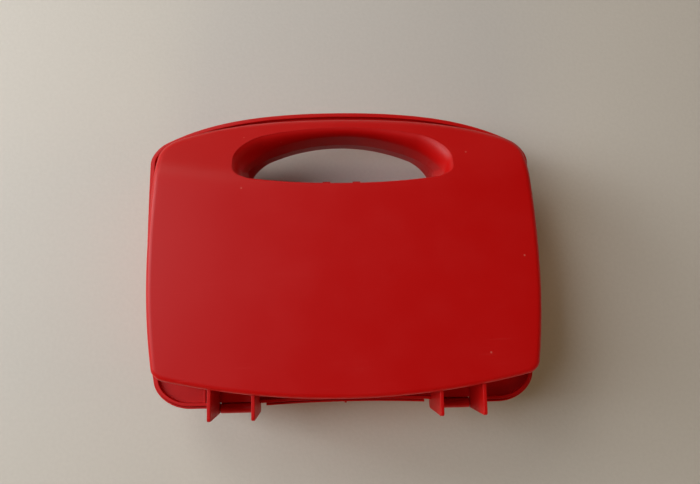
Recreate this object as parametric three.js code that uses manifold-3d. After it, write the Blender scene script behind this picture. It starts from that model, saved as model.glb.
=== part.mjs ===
// A toy carry case in moulded red plastic, lying on its back.
// Two half shells turn on snap hinges at the foot, and a sprung latch holds them under the handle.
// Millimetres. X is the width, Y runs from the feet to the handle, Z from the back panel to the front.
// The origin is under the middle of the case, on the plane that it lies on.

import * as THREE from 'three';
import { mergeVertices } from 'three/addons/utils/BufferGeometryUtils.js';
import Module from 'manifold-3d';

const wasm = await Module();
wasm.setup();

// Overall form
const halfDepth = 37.5;
const wall = 2;
const gap = 0.3;
const cutOverrun = 3;
const panelRounding = 4.6;

// Outlines, seen from the front. Each is a bowed top, two bowed sides and a bowed foot with round corners.
// A rise says how far an edge bows over the half width, and a shoulder lowers the top edge's ends further.
// A corner reaches along the top or foot edge by a length, and along the side by a share of its height.
const rim = {
  top: 94.5, topRise: 13.081, shoulder: 12.9,
  foot: -89.1, footRise: 0.836, footDip: 2.7, footDipSpan: 67,
  halfWidth: 122.7, widestAt: -14.5, highDrop: 1.2, highSpan: 80, lowDrop: 3.9, lowSpan: 50,
  topCornerReach: 9.2, topCornerShare: 0.0494, footCornerReach: 18.8, footCornerShare: 0.0951,
};

// The foot of each half shell's wall lies inside the rim, and its panel inside the foot of the wall.
const wallFootMargin = { top: 4.4, foot: 3.9, side: 4.3 };
const wallFoot = {
  top: rim.top - wallFootMargin.top, topRise: 12.257, shoulder: 12.899,
  foot: rim.foot + wallFootMargin.foot, footRise: 13.394, footDip: 0, footDipSpan: rim.footDipSpan,
  halfWidth: rim.halfWidth - wallFootMargin.side, widestAt: rim.widestAt,
  highDrop: 1.8, highSpan: rim.highSpan, lowDrop: 3.6, lowSpan: rim.lowSpan,
  topCornerReach: 10, topCornerShare: 0.0611, footCornerReach: 7, footCornerShare: 0.0432,
};
const panelMargin = { top: 6.2, foot: 1.9, side: 5.6 };
const panel = {
  top: wallFoot.top - panelMargin.top, topRise: 11.313, shoulder: 11,
  foot: wallFoot.foot + panelMargin.foot, footRise: 14.4, footDip: 0, footDipSpan: rim.footDipSpan,
  halfWidth: wallFoot.halfWidth - panelMargin.side, widestAt: rim.widestAt,
  highDrop: 5.8, highSpan: rim.highSpan, lowDrop: 3.4, lowSpan: rim.lowSpan,
  topCornerReach: 8.4, topCornerShare: 0.052, footCornerReach: 6, footCornerShare: 0.0361,
};

// The upper part of each panel leans back to the handle, above a soft crease that sags in the middle.
const creaseBelowTop = 54.5;
const creaseMiddle = rim.top - creaseBelowTop;
const creaseRise = 10.32;
const creaseSoftness = 7;
const leanSlopeShare = 0.445;

// Flanges at the parting plane
const frontInset = 2.1;
const frontFlangeThickness = 2;
const frontLipWidth = 1.8;
const frontLipHeight = 2.9;
const backRimThickness = 2.6;
const backLipWidth = 1.2;
const backLipHeight = 1.2;
const tongueThickness = 1.2;
const tongueHeight = 1.8;
const tongueRoot = 4;
const wallDraftShare = 0.3;
const gateWidth = 1.4;
const gateProud = 0.9;

// Handle opening: its throat at the parting plane, its neck where the rounding starts, and its mouth.
// The back shell's neck is higher than the front's, so that little of its wall shows from the front.
const handleHeight = 21;
const openingHeight = 29.1;
const openingSides = {
  footDip: 0, footDipSpan: rim.footDipSpan,
  widestAt: 0, highDrop: 0, highSpan: rim.highSpan, lowDrop: 0, lowSpan: rim.lowSpan,
};
const throat = {
  ...openingSides,
  top: rim.top - handleHeight, topRise: 15.64, shoulder: 0,
  foot: rim.top - handleHeight - openingHeight, footRise: 3, halfWidth: 59.8,
  topCornerReach: 13, topCornerShare: 0.3, footCornerReach: 2, footCornerShare: 0.09,
};
const neckMargin = { top: 0.6, foot: 4.6, side: 1 };
const neck = {
  ...openingSides,
  top: throat.top + neckMargin.top, topRise: 16.5, shoulder: 0,
  foot: throat.foot - neckMargin.foot, footRise: 4.73, halfWidth: throat.halfWidth + neckMargin.side,
  topCornerReach: 14, topCornerShare: 0.6, footCornerReach: 4, footCornerShare: 0.15,
};
const backNeckMargin = { top: 2.75, side: 1.3 };
const backNeck = {
  ...neck,
  top: throat.top + backNeckMargin.top, topRise: 18, halfWidth: throat.halfWidth + backNeckMargin.side,
};
const mouthMargin = { top: 4.4, foot: 1.4, side: 4.8 };
const mouth = {
  ...openingSides,
  top: neck.top + mouthMargin.top, topRise: 11, shoulder: 0,
  foot: neck.foot - mouthMargin.foot, footRise: 5.6, halfWidth: neck.halfWidth + mouthMargin.side,
  topCornerReach: 18, topCornerShare: 0.4931, footCornerReach: 12, footCornerShare: 0.2689,
};
const mouthDepthShare = 1.35;
const leastMouthDepth = 1.6;

// Hinges: two fins of the front shell hold a pin, and a clip of the back shell turns on it
const hingeBelowFoot = 2.3;
const hingeY = rim.foot - hingeBelowFoot;
const pinRadius = 1.6;
const clipWall = 1.2;
const barrelRadius = pinRadius + gap + clipWall;
const finThickness = 2;
const innerFinX = 53;
const finSpacing = 24.5;
const outerFinX = innerFinX + finSpacing;
const finNearEdge = 34.5;
const finCorner = 2;
const finLength = 21.4;
const finRootY = hingeY + finLength;
const socketDepth = finThickness / 2;
const clipPlay = 0.5;
const clipWidth = finSpacing - finThickness - 2 * clipPlay;
const clipMouthDegrees = 96;
const clipMouthTowardsDegrees = -125;
const webDepth = 7;
const webLength = 12.4;
const webRootY = hingeY + webLength;
const reliefPlay = 0.4;
const reliefEdgeY = hingeY + barrelRadius + reliefPlay;
const reliefInner = 3.5;
const reliefOuter = 1.5;
const pocketRibFromFin = 7.7;
const pocketRibX = outerFinX + pocketRibFromFin;
const pocketRibWidth = 1.2;

// Latch: a sprung tongue under the sill of the handle opening, with two finger nubs and two barbs
const latchHalfWidth = 15.2;
const latchThickness = 2;
const latchPivotDepth = 13;
const latchClearance = 0.6;
const trunnionRadius = 1.5;
const lugThickness = 3;
const lugWall = 1.4;
const lugRadius = trunnionRadius + gap + lugWall;
const prongX = 9.6;
const prongWidth = 5;
const prongClearance = 0.4;
const nubRise = 4;
const nubTop = throat.foot + nubRise;
const nubStart = 0.5;
const nubLength = 2.4;
const nubTravel = 1.1;
const catchBarStart = nubStart + nubLength + nubTravel;
const catchBarLength = 1.5;
const barbStart = catchBarStart + catchBarLength + prongClearance;
const barbLength = 2.7;
const barbBelowSill = 0.3;
const catchWindowLength = barbLength + 3 * prongClearance;
const latchReach = barbStart + barbLength + prongClearance;

// Facet counts
const bodySteps = {
  footSteps: 8, footCornerSteps: 4, topCornerSteps: 5, topSteps: 9, sideShares: [0.3, 0.6, 0.74, 0.82, 0.9],
};
const rimSteps = {
  footSteps: 6, footCornerSteps: 6, topCornerSteps: 5, topSteps: 9, sideShares: [0.4, 0.75],
};
const openingSteps = {
  footSteps: 5, footCornerSteps: 3, topCornerSteps: 5, topSteps: 7, sideShares: [0.5],
};
const creaseRowCount = 2;
const roundingSteps = 3;
const mouthSteps = 4;
const roundFacets = 20;
const finCornerFacets = 4;
const cornerPassCount = 12;

// Shares and turns of the rounded forms
const cornerPullShare = 0.56;
const roundingReachShare = 0.73;
const mouthTurnDegrees = 84;
const fullTurnDegrees = 360;

const red = { color: 0xa81518, roughness: 0.42, metalness: 0 };

// Curves of an outline
const arcRadius = (rise, halfWidth) => (halfWidth * halfWidth + rise * rise) / (2 * rise);
const arcDrop = (radius, x) => radius - Math.sqrt(radius * radius - x * x);
const bow = (rise, halfWidth, x) => arcDrop(arcRadius(rise, halfWidth), x);
const topDrop = (o, x) => bow(o.topRise, o.halfWidth, x) + o.shoulder * (x / o.halfWidth) ** 4;
const topEdge = (o, x) => o.top - topDrop(o, x);
const footDip = (o, x) => o.footDip * Math.min(1, (x / o.footDipSpan) ** 2);
const footEdge = (o, x) => o.foot + bow(o.footRise, o.halfWidth, x) - footDip(o, x);

function sideEdge(o, y) {
  const away = y - o.widestAt;
  const drop = away > 0 ? o.highDrop : o.lowDrop;
  const span = away > 0 ? o.highSpan : o.lowSpan;
  return o.halfWidth - drop * (away / span) ** 2;
}

// The point where a side would meet the top or foot edge without a round corner
function sharpCorner(o, edge) {
  let x = o.halfWidth;
  for (let pass = 0; pass < cornerPassCount; pass++) {
    x = sideEdge(o, edge(o, x));
  }
  return [x, edge(o, x)];
}

function roundCorner(from, corner, to, steps) {
  const pull = (end) => new THREE.Vector2(...end).lerp(new THREE.Vector2(...corner), cornerPullShare);
  const curve = new THREE.CubicBezierCurve(
    new THREE.Vector2(...from), pull(from), pull(to), new THREE.Vector2(...to));
  return curve.getPoints(steps).map((p) => [p.x, p.y]);
}

// Right half of an outline, from the middle of the foot to the middle of the top
function rightHalf(o, steps) {
  const foot = sharpCorner(o, footEdge);
  const top = sharpCorner(o, topEdge);
  const sideHeight = top[1] - foot[1];
  const footEnd = foot[0] - o.footCornerReach;
  const sideStart = foot[1] + sideHeight * o.footCornerShare;
  const sideEnd = top[1] - sideHeight * o.topCornerShare;
  const topStart = top[0] - o.topCornerReach;
  const points = [];
  for (let i = 0; i < steps.footSteps; i++) {
    const x = footEnd * i / steps.footSteps;
    points.push([x, footEdge(o, x)]);
  }
  points.push(...roundCorner([footEnd, footEdge(o, footEnd)], foot,
    [sideEdge(o, sideStart), sideStart], steps.footCornerSteps));
  for (const share of steps.sideShares) {
    const y = sideStart + (sideEnd - sideStart) * share;
    points.push([sideEdge(o, y), y]);
  }
  points.push(...roundCorner([sideEdge(o, sideEnd), sideEnd], top,
    [topStart, topEdge(o, topStart)], steps.topCornerSteps));
  for (let i = 1; i <= steps.topSteps; i++) {
    const x = topStart * (1 - i / steps.topSteps);
    points.push([x, topEdge(o, x)]);
  }
  return points;
}

// A whole outline, counter-clockwise from the middle of the foot
function outline(o, steps) {
  const right = rightHalf(o, steps);
  const left = right.slice(1, -1).reverse().map(([x, y]) => [-x, y]);
  return [...right, ...left];
}

// The outward direction at each point of an outline
function outward(points) {
  const n = points.length;
  return points.map((p, i) => {
    const before = points[(i + n - 1) % n];
    const after = points[(i + 1) % n];
    const along = new THREE.Vector2(after[0] - before[0], after[1] - before[1]).normalize();
    return [along.y, -along.x];
  });
}

function grown(points, distance) {
  const out = outward(points);
  return points.map(([x, y], i) => [x + out[i][0] * distance, y + out[i][1] * distance]);
}

// Height of the panel's face above the parting plane
const creaseY = (x) => creaseMiddle + creaseRise * (x / rim.halfWidth) ** 2;

function faceHeight(x, y) {
  const above = y - creaseY(x);
  const eased = (above + creaseSoftness) ** 2 / (4 * creaseSoftness);
  const run = above < -creaseSoftness ? 0 : above > creaseSoftness ? above : eased;
  return halfDepth - leanSlopeShare * run;
}

// Solids from triangles
function solidOf(geometry) {
  const bare = geometry.clone();
  bare.deleteAttribute('normal');
  bare.deleteAttribute('uv');
  const merged = mergeVertices(bare);
  return new wasm.Manifold(new wasm.Mesh({
    numProp: 3,
    vertProperties: new Float32Array(merged.attributes.position.array),
    triVerts: new Uint32Array(merged.index.array),
  }));
}

function geometryOf(points, triangles) {
  const geometry = new THREE.BufferGeometry();
  geometry.setAttribute('position', new THREE.Float32BufferAttribute(points.flat(), 3));
  geometry.setIndex(triangles.flat());
  return geometry;
}

// Flat cap over a ring of points
function capTriangles(ring, offset, upward) {
  const flat = ring.map((p) => new THREE.Vector2(p[0], p[1]));
  const faces = THREE.ShapeUtils.triangulateShape(flat, []);
  return faces.map(([a, b, c]) => (upward ? [a, b, c] : [a, c, b]).map((i) => i + offset));
}

function bandTriangles(lower, upper, count) {
  const faces = [];
  for (let i = 0; i < count; i++) {
    const next = (i + 1) % count;
    faces.push([lower + i, lower + next, upper + next], [lower + i, upper + next, upper + i]);
  }
  return faces;
}

// A closed body through rings of equal count, capped flat at both ends
function lofted(rings) {
  const count = rings[0].length;
  const faces = capTriangles(rings[0], 0, false);
  for (let k = 1; k < rings.length; k++) {
    faces.push(...bandTriangles((k - 1) * count, k * count, count));
  }
  faces.push(...capTriangles(rings.at(-1), (rings.length - 1) * count, true));
  return solidOf(geometryOf(rings.flat(), faces));
}

const level = (points, z) => points.map(([x, y]) => [x, y, z]);
const slab = (points, from, to) => lofted([level(points, from), level(points, to)]);

// A profile in Y and Z, drawn out along X
function alongX(profile, fromX, toX) {
  const shape = new THREE.Shape(profile.map(([y, z]) => new THREE.Vector2(y, z)));
  const geometry = new THREE.ExtrudeGeometry(shape, { depth: toX - fromX, bevelEnabled: false });
  const axes = new THREE.Matrix4().makeBasis(
    new THREE.Vector3(0, 1, 0), new THREE.Vector3(0, 0, 1), new THREE.Vector3(1, 0, 0));
  geometry.applyMatrix4(axes);
  geometry.translate(fromX, 0, 0);
  return solidOf(geometry);
}

function block(fromX, toX, fromY, toY, fromZ, toZ) {
  return alongX([[fromY, fromZ], [toY, fromZ], [toY, toZ], [fromY, toZ]], fromX, toX);
}

function arc(centre, radius, fromDegrees, toDegrees, steps) {
  return Array.from({ length: steps + 1 }, (_, i) => {
    const angle = THREE.MathUtils.degToRad(fromDegrees + (toDegrees - fromDegrees) * i / steps);
    return [centre[0] + radius * Math.cos(angle), centre[1] + radius * Math.sin(angle)];
  });
}

const disc = (centre, radius) => arc(centre, radius, 0, fullTurnDegrees, roundFacets).slice(0, -1);
const union = (solids) => solids.reduce((whole, next) => whole.add(next));

function mirroredInX(solid) {
  return transformed(solid, new THREE.Matrix4().makeScale(-1, 1, 1), true);
}

function transformed(solid, matrix, flips) {
  const geometry = geometryFrom(solid);
  geometry.applyMatrix4(matrix);
  if (flips) {
    const index = geometry.index.array;
    for (let i = 0; i < index.length; i += 3) {
      [index[i + 1], index[i + 2]] = [index[i + 2], index[i + 1]];
    }
  }
  return solidOf(geometry);
}

function geometryFrom(solid) {
  const mesh = solid.getMesh();
  const geometry = new THREE.BufferGeometry();
  geometry.setAttribute('position', new THREE.BufferAttribute(new Float32Array(mesh.vertProperties), 3));
  geometry.setIndex(new THREE.BufferAttribute(new Uint32Array(mesh.triVerts), 1));
  return geometry;
}

// The face of a half shell as rows that follow the crease, then the top edge
function faceRows(edge, top, lower) {
  const sideRow = bodySteps.footSteps + bodySteps.footCornerSteps + 1;
  const firstRow = sideRow + creaseRowCount;
  const firstTopRow = sideRow + bodySteps.sideShares.length;
  const lastRow = firstTopRow + bodySteps.topCornerSteps;
  const topEnd = edge[lastRow][0];
  const rows = [];
  for (let j = firstRow; j <= lastRow; j++) {
    const [edgeX, edgeY] = edge[j];
    const towardsTop = Math.max(0, (j - firstTopRow) / (lastRow - firstTopRow));
    const row = [];
    for (let k = 0; k <= 2 * bodySteps.topSteps; k++) {
      const x = edgeX * edge[lastRow + k][0] / topEnd;
      const crease = creaseY(x) - creaseY(edgeX);
      const rise = top(x) - top(edgeX);
      const y = edgeY + (1 - towardsTop) * crease + towardsTop * rise;
      row.push([x, y, faceHeight(x, y) - lower]);
    }
    rows.push(row);
  }
  return { rows, firstRow };
}

// Outer or inner form of a half shell, above the parting plane
function dome(inset, start) {
  const foot = grown(outline(wallFoot, bodySteps), -inset);
  const brow = grown(outline(panel, bodySteps), -inset);
  const inwards = outward(brow);
  const rounding = (panelRounding - inset) * roundingReachShare;
  const rings = start < 0 ? [level(foot, start), level(foot, 0)] : [level(foot, start)];
  const sharp = brow.map(([x, y]) => new THREE.Vector3(x, y, faceHeight(x, y) - inset));
  const below = sharp.map((p, i) => {
    const down = new THREE.Vector3(foot[i][0], foot[i][1], Math.max(start, 0)).sub(p).normalize();
    return p.clone().addScaledVector(down, rounding);
  });
  const inside = brow.map(([x, y], i) => {
    const innerX = x - inwards[i][0] * rounding;
    const innerY = y - inwards[i][1] * rounding;
    return new THREE.Vector3(innerX, innerY, faceHeight(innerX, innerY) - inset);
  });
  for (let k = 0; k <= roundingSteps; k++) {
    rings.push(sharp.map((p, i) => {
      const curve = new THREE.QuadraticBezierCurve3(below[i], p, inside[i]);
      return curve.getPoint(k / roundingSteps).toArray();
    }));
  }
  return closedByFace(rings, inset);
}

// Closes the last ring with the flat panel and the rows of the leaning face
function closedByFace(rings, inset) {
  const count = rings[0].length;
  const edge = rings.at(-1);
  const lastStart = (rings.length - 1) * count;
  const points = rings.flat();
  const faces = capTriangles(rings[0], 0, false);
  for (let k = 1; k < rings.length; k++) {
    faces.push(...bandTriangles((k - 1) * count, k * count, count));
  }
  const topMiddle = count / 2;
  const ridge = edge[topMiddle][1];
  const top = (x) => ridge - topDrop(panel, x);
  const { rows, firstRow } = faceRows(edge, top, inset);
  const ids = rows.map((row, r) => row.map((point, k) => {
    if (r === rows.length - 1) {
      return lastStart + firstRow + r + k;
    }
    if (k === 0) {
      return lastStart + firstRow + r;
    }
    if (k === row.length - 1) {
      return lastStart + count - firstRow - r;
    }
    points.push(point);
    return points.length - 1;
  }));
  for (let r = 1; r < ids.length; r++) {
    for (let k = 1; k < ids[r].length; k++) {
      faces.push([ids[r - 1][k], ids[r - 1][k - 1], ids[r][k - 1]]);
      faces.push([ids[r - 1][k], ids[r][k - 1], ids[r][k]]);
    }
  }
  const lowerEdge = [...Array(firstRow).keys()].map((i) => lastStart + i);
  const otherEdge = [...Array(firstRow - 1).keys()].map((i) => lastStart + count - firstRow + 1 + i);
  const loop = [...lowerEdge, ...ids[0], ...otherEdge];
  const flat = capTriangles(loop.map((id) => points[id]), 0, true);
  faces.push(...flat.map((face) => face.map((i) => loop[i])));
  return solidOf(geometryOf(points, faces));
}

// The handle opening as a solid to cut with, or grown into the sleeve around it
function tunnel(shellNeck, growth) {
  const rings = [throat, shellNeck, mouth].map((o) => outline(o, openingSteps));
  const [narrow, middle, wide] = rings;
  const out = outward(middle);
  const place = (i, turn) => {
    const flare = Math.hypot(wide[i][0] - middle[i][0], wide[i][1] - middle[i][1]);
    const depth = Math.max(leastMouthDepth, flare * mouthDepthShare);
    const mix = 1 - Math.cos(turn);
    const x = middle[i][0] + (wide[i][0] - middle[i][0]) * mix;
    const y = middle[i][1] + (wide[i][1] - middle[i][1]) * mix;
    const z = faceHeight(...wide[i]) - depth * (1 - Math.sin(turn));
    const side = growth * Math.cos(turn);
    return [x + out[i][0] * side, y + out[i][1] * side, z - growth * Math.sin(turn)];
  };
  const body = [level(grown(narrow, growth), -cutOverrun), level(grown(narrow, growth), 0)];
  const lastTurn = THREE.MathUtils.degToRad(mouthTurnDegrees);
  for (let k = 0; k <= mouthSteps; k++) {
    body.push(middle.map((_, i) => place(i, lastTurn * k / mouthSteps)));
  }
  const last = body.at(-1);
  const opened = growth === 0 ? grown(last, gap) : last;
  body.push(opened.map(([x, y], i) => [x, y, last[i][2] + growth + cutOverrun]));
  return lofted(body);
}

// One half shell without its flange, and the hollow to cut from what joins it
function halfForms(shellNeck) {
  const outer = dome(0, gap / 2);
  const hollow = dome(wall, -cutOverrun).subtract(tunnel(shellNeck, wall));
  return { outer, hollow, opening: tunnel(shellNeck, 0) };
}

// A frame of even width that follows an outline, between two heights
function band(points, width, from, to) {
  const inner = slab(grown(points, -width), from - cutOverrun, to + cutOverrun);
  return slab(points, from, to).subtract(inner);
}

// Room for the hinge in a flange on one side, reaching past the fins' middles by the given lengths
function hingeRelief(inner, outer) {
  return block(innerFinX - inner, outerFinX + outer,
    rim.foot - rim.footDip - cutOverrun, reliefEdgeY, -2 * cutOverrun, 2 * cutOverrun);
}

const bothSides = (solid) => solid.add(mirroredInX(solid));

// A fin of the front shell with a round end about the hinge axis and a socket for the pin
function fin(x, socketSide) {
  const footY = hingeY - barrelRadius;
  const centre = [footY + finCorner, finNearEdge - finCorner];
  const profile = [
    [finRootY, finNearEdge],
    ...arc(centre, finCorner, 90, 180, finCornerFacets),
    ...arc([hingeY, 0], barrelRadius, 180, 360, roundFacets / 2),
    [hingeY + barrelRadius, gap / 2],
    [finRootY, gap / 2],
  ];
  const plate = alongX(profile, x - finThickness / 2, x + finThickness / 2);
  const face = x + socketSide * finThickness / 2;
  const ends = [face - socketSide * socketDepth, face + socketSide * cutOverrun];
  const socket = alongX(disc([hingeY, 0], pinRadius + gap), Math.min(...ends), Math.max(...ends));
  return plate.subtract(socket);
}

// The corner pocket's small rib, which runs from the wall to the lip and stands as high
function pocketRib() {
  const top = gap / 2 + frontFlangeThickness + frontLipHeight;
  return block(pocketRibX - pocketRibWidth / 2, pocketRibX + pocketRibWidth / 2,
    footEdge(rim, pocketRibX) + frontInset + frontLipWidth / 2, finRootY, gap, top);
}

// Slots in the sill that take the latch's nubs and barbs
function latchSlots() {
  const cuts = [];
  for (const x of [-prongX, prongX]) {
    const half = prongWidth / 2 + prongClearance;
    const windowStart = catchBarStart + catchBarLength;
    const lower = throat.foot - 2 * wall - cutOverrun;
    const upper = throat.foot + cutOverrun;
    cuts.push(block(x - half, x + half, lower, upper, -cutOverrun, catchBarStart));
    cuts.push(block(x - half, x + half, lower, upper, windowStart, windowStart + catchWindowLength));
  }
  return union(cuts);
}

function frontShell() {
  const { outer, hollow, opening } = halfForms(neck);
  const edge = grown(outline(rim, rimSteps), -frontInset);
  const flangeTop = gap / 2 + frontFlangeThickness;
  const flange = slab(edge, gap / 2, flangeTop);
  const lip = band(edge, frontLipWidth, gap / 2, flangeTop + frontLipHeight);
  const lipBreak = block(innerFinX, outerFinX, rim.foot - rim.footDip, finRootY,
    flangeTop, flangeTop + frontLipHeight + cutOverrun);
  const cuts = bothSides(hingeRelief(0, 0).add(lipBreak));
  const flanges = flange.add(lip).subtract(cuts);
  const fins = bothSides(fin(innerFinX, 1).add(fin(outerFinX, -1)));
  return union([outer, flanges, fins, bothSides(pocketRib())])
    .subtract(hollow)
    .subtract(opening)
    .subtract(latchSlots());
}

// A clip that wraps the hinge pin, with the web that joins it to the wall
function hingeClip() {
  const start = innerFinX + finThickness / 2 + clipPlay;
  const mouthFrom = clipMouthTowardsDegrees - clipMouthDegrees / 2;
  const mouthTo = mouthFrom + clipMouthDegrees;
  const jaw = (radius, from, to) => arc([hingeY, 0], radius, from, to, roundFacets);
  const clip = alongX([
    ...jaw(barrelRadius, mouthTo, mouthFrom + fullTurnDegrees),
    ...jaw(pinRadius + gap, mouthFrom + fullTurnDegrees, mouthTo),
  ], start, start + clipWidth);
  const bore = alongX(disc([hingeY, 0], pinRadius + gap), start - cutOverrun, start + clipWidth + cutOverrun);
  const web = alongX([
    [hingeY, -gap / 2], [hingeY + barrelRadius, -webDepth / 2], [webRootY, -webDepth], [webRootY, -gap / 2],
  ], start, start + clipWidth);
  return clip.add(web.subtract(bore));
}

// Lugs under the sill that carry the latch's trunnions
function latchLugs() {
  const lugs = [];
  const centre = [latchPivotY(), latchPivotDepth];
  for (const side of [-1, 1]) {
    const near = side * (latchHalfWidth + gap);
    const far = near + side * lugThickness;
    const ends = [Math.min(near, far), Math.max(near, far)];
    const plate = alongX([
      ...arc(centre, lugRadius, 90, 270, roundFacets / 2),
      [sillUnder(latchPivotDepth) + wall / 2, latchPivotDepth - lugRadius],
      [sillUnder(latchPivotDepth) + wall / 2, latchPivotDepth + lugRadius],
    ], ...ends);
    const hole = alongX(disc(centre, trunnionRadius + gap), ends[0] - cutOverrun, ends[1] + cutOverrun);
    lugs.push(plate.subtract(hole));
  }
  return union(lugs);
}

// Underside of the sill of the handle opening, at a height above the parting plane
function sillUnder(height) {
  const share = height / (halfDepth - leastMouthDepth);
  return throat.foot + (neck.foot - throat.foot) * share - wall;
}

function latchTopY() {
  return sillUnder(latchPivotDepth) - latchClearance;
}

function latchPivotY() {
  return latchTopY() - latchThickness / 2;
}

function backShell() {
  const { outer, hollow, opening } = halfForms(backNeck);
  const edge = outline(rim, rimSteps);
  const plate = slab(edge, gap / 2, gap / 2 + backRimThickness);
  const lip = band(edge, backLipWidth, -backLipHeight, gap / 2 + backRimThickness);
  const half = finThickness / 2;
  const rims = plate.add(lip).subtract(bothSides(hingeRelief(half + reliefInner, half + reliefOuter)));
  const gate = block(-gateWidth / 2, gateWidth / 2, rim.foot - gateProud, rim.foot + backLipWidth,
    gap, gap / 2 + backRimThickness);
  const inner = outline(wallFoot, bodySteps);
  const tongueInset = wall + gap + wallDraftShare * tongueHeight;
  const tongueRing = band(grown(inner, -tongueInset), tongueThickness, -tongueHeight, tongueRoot);
  const tongueSeat = band(grown(inner, -wall / 2), tongueInset + tongueThickness - wall / 2, gap, tongueRoot);
  const shell = union([outer, rims, gate]).subtract(hollow);
  const clip = mirroredInZ(hingeClip());
  return union([shell, tongueRing, tongueSeat.intersect(outer), bothSides(clip), latchLugs()])
    .subtract(opening);
}

function mirroredInZ(solid) {
  return transformed(solid, new THREE.Matrix4().makeScale(1, 1, -1), true);
}

// A hinge pin, which reaches into the sockets of both fins
function hingePin() {
  const from = innerFinX + finThickness / 2 - socketDepth + gap;
  const to = outerFinX - finThickness / 2 + socketDepth - gap;
  return alongX(disc([hingeY, 0], pinRadius), from, to);
}

// The latch in the front shell's sense of height: the pivot lies below the parting plane
function latch() {
  const top = latchTopY();
  const sill = sillUnder(barbStart) + wall;
  const solids = [
    block(-latchHalfWidth, latchHalfWidth, top - latchThickness, top, -latchPivotDepth, latchReach),
    alongX(disc([latchPivotY(), -latchPivotDepth], trunnionRadius),
      -latchHalfWidth - gap - lugThickness, latchHalfWidth + gap + lugThickness),
  ];
  for (const x of [-prongX, prongX]) {
    const from = x - prongWidth / 2;
    const to = x + prongWidth / 2;
    solids.push(block(from, to, top - latchThickness / 2, nubTop, nubStart, nubStart + nubLength));
    solids.push(alongX([
      [top - latchThickness / 2, barbStart], [top - latchThickness / 2, barbStart + barbLength],
      [top + latchClearance, barbStart + barbLength],
      [sill - barbBelowSill, barbStart + barbLength / 3], [sill - barbBelowSill, barbStart],
    ].reverse(), from, to));
  }
  return union(solids);
}

// Placing: heights above the parting plane become Z, to the front or to the back
function placed(name, solid, facesBack) {
  const matrix = new THREE.Matrix4().makeTranslation(0, 0, halfDepth);
  if (facesBack) {
    matrix.scale(new THREE.Vector3(1, 1, -1));
  }
  const geometry = geometryFrom(transformed(solid, matrix, facesBack));
  geometry.computeVertexNormals();
  const mesh = new THREE.Mesh(geometry, new THREE.MeshStandardMaterial(red));
  mesh.name = name;
  return mesh;
}

const carryCase = new THREE.Group();
carryCase.add(
  placed('back_shell', backShell(), true),
  placed('front_shell', frontShell(), false),
  placed('latch', latch(), false),
  placed('hinge_pin_left', mirroredInX(hingePin()), false),
  placed('hinge_pin_right', hingePin(), false),
);

export default carryCase;
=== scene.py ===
import math
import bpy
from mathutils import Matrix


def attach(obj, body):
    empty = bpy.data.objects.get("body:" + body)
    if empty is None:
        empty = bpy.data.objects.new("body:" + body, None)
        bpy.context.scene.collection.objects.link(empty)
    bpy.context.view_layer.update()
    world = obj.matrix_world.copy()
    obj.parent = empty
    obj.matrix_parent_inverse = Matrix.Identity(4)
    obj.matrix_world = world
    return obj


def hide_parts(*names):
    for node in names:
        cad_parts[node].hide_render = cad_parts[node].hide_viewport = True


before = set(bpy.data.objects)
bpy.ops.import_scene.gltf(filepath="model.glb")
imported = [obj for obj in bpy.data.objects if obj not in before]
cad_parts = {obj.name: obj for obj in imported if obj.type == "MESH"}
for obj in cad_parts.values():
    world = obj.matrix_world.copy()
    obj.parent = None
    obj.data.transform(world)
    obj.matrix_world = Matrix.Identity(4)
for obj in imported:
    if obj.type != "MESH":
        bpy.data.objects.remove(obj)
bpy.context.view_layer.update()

from types import SimpleNamespace as Sizes

import bmesh
import bpy
from mathutils import Matrix, Vector

# Sizes of the case in millimetres, the same as in the part's source. Y is measured from the middle of the case and
# heights from the parting plane.
HALF_DEPTH = 37.5
WALL = 2.0
GAP = 0.3
OVERRUN = 3.0
PANEL_ROUNDING = 4.6
REACH_SHARE = 0.73

# Outlines: a bowed top and foot, sides that pull in above and below their widest point, and rounded corners
RIM = Sizes(top=94.5, top_radius=582, shoulder=12.9, shoulder_at=122.7,
            foot=-89.1, foot_radius=9000, dip=2.7, dip_span=67,
            half_width=122.62, widest=-14.5, high_drop=1.2, high_span=80, low_drop=3.9, low_span=50,
            top_corner=(9.2, 7.9), foot_corner=(18.8, 15.2))
WALL_FOOT = Sizes(top=90.1, top_radius=578, shoulder=12.3, shoulder_at=117,
                  foot=-85.2, foot_radius=530, dip=0, dip_span=67,
                  half_width=118.4, widest=-14.5, high_drop=1.8, high_span=80, low_drop=3.6, low_span=50,
                  top_corner=(10, 8.5), foot_corner=(7, 6))
PANEL = Sizes(top=83.9, top_radius=572, shoulder=11, shoulder_at=112.8,
              foot=-83.3, foot_radius=452.2, dip=0, dip_span=67,
              half_width=112.8, widest=-14.5, high_drop=5.8, high_span=80, low_drop=3.4, low_span=50,
              top_corner=(8.4, 7), foot_corner=(6, 5))

# Outlines of the handle opening, from the parting plane (throat) to the face (mouth)
THROAT = Sizes(top=73.5, top_rise=15.64, foot=44.4, foot_rise=3, half_width=59.8,
               top_corner=(13, 0.3), foot_corner=(2, 0.09))
NECK = Sizes(top=74.1, top_rise=16.5, foot=39.8, foot_rise=4.73, half_width=60.8,
             top_corner=(14, 0.6), foot_corner=(4, 0.15))
BACK_NECK = Sizes(top=76.25, top_rise=18, foot=39.8, foot_rise=4.73, half_width=61.1,
                  top_corner=(14, 0.6), foot_corner=(4, 0.15))
MOUTH = Sizes(top=78.5, top_rise=11, foot=38.4, foot_rise=5.6, half_width=65.6,
              top_corner=(18, 0.4931), foot_corner=(12, 0.2689))
MOUTH_DEPTH_SHARE = 1.35
LEAST_MOUTH_DEPTH = 1.6
MOUTH_TURN_DEG = 87

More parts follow.
